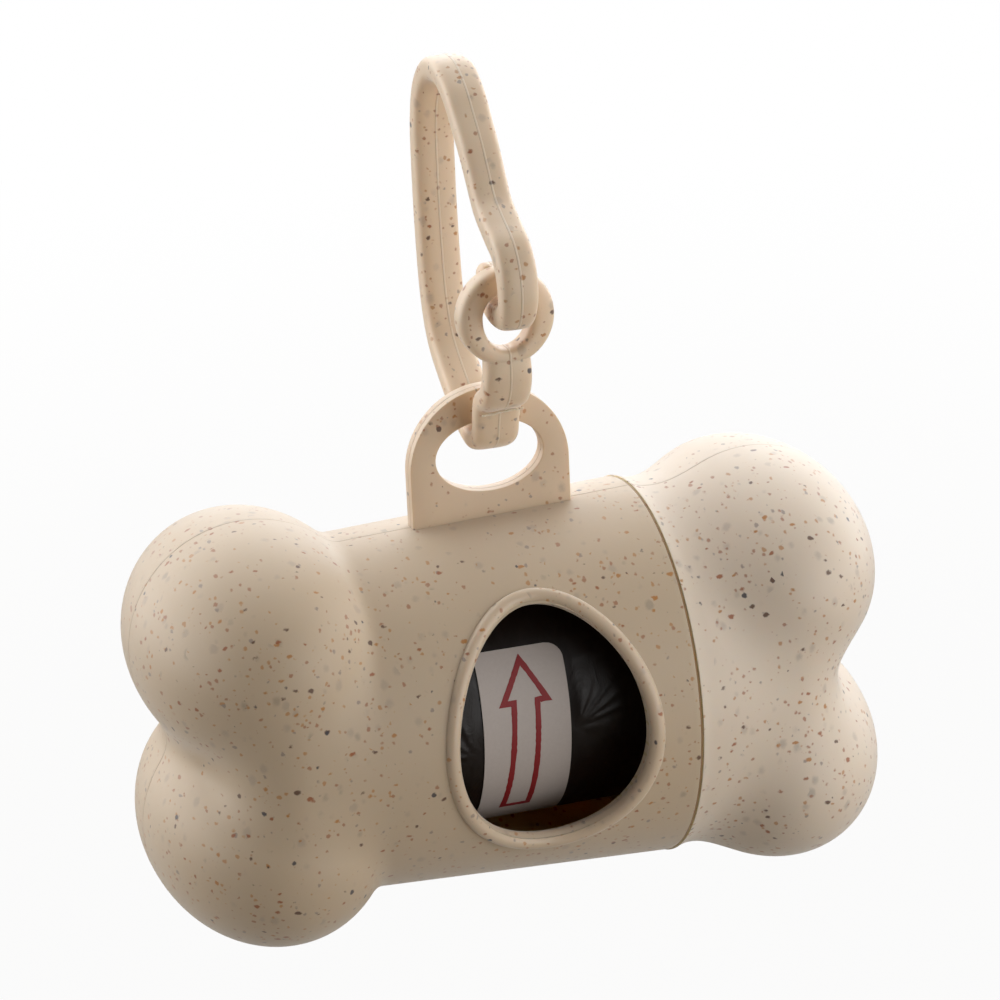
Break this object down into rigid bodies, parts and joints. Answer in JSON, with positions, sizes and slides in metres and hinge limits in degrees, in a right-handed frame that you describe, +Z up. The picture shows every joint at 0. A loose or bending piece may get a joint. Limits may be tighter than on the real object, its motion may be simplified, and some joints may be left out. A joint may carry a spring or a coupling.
{
  "type": "dog waste bag dispenser",
  "caption": "Bone-shaped hollow dispenser with a bayonet end cap, a bag roll that spins on inner pegs behind an oval window, and a moulded hook-and-ring strap.",
  "frame": {"origin": "where a lead passes through the top of the strap's loop", "axes": "+X along the bone from its closed end towards the cap, +Y from the window's side to the back, +Z up along the hanging strap"},
  "size_m": [0.0777, 0.0396, 0.0867],
  "materials": {
    "shell": "moulded wheat-straw polypropylene, speckled, satin gloss",
    "strap": "moulded flexible wheat-straw polypropylene, speckled, satin gloss",
    "film": "thin black polyethylene film, wrinkled",
    "card": "wound grey-brown card",
    "band": "uncoated white paper with a printed red arrow outline"
  },
  "bodies": {
    "strap": {"strap_clip": "strap"},
    "body": {"housing": "shell"},
    "cap": {"end_cap": "shell"},
    "roll": {"bag_roll": "film", "roll_core": "card", "paper_band": "band"}
  },
  "joints": [
    {"name": "body_swing", "type": "hinge", "parent": "strap", "child": "body", "pos_m": [0, -0.0073, -0.031], "axis": [1, 0, 0], "range_deg": [-75, 75]},
    {"name": "cap_turn", "type": "hinge", "parent": "body", "child": "cap", "pos_m": [0.01485, -0.0073, -0.06165], "axis": [1, 0, 0], "range_deg": [0, 60]},
    {"name": "roll_spin", "type": "hinge", "parent": "body", "child": "roll", "pos_m": [0, -0.0073, -0.06165], "axis": [1, 0, 0], "continuous": true}
  ]
}
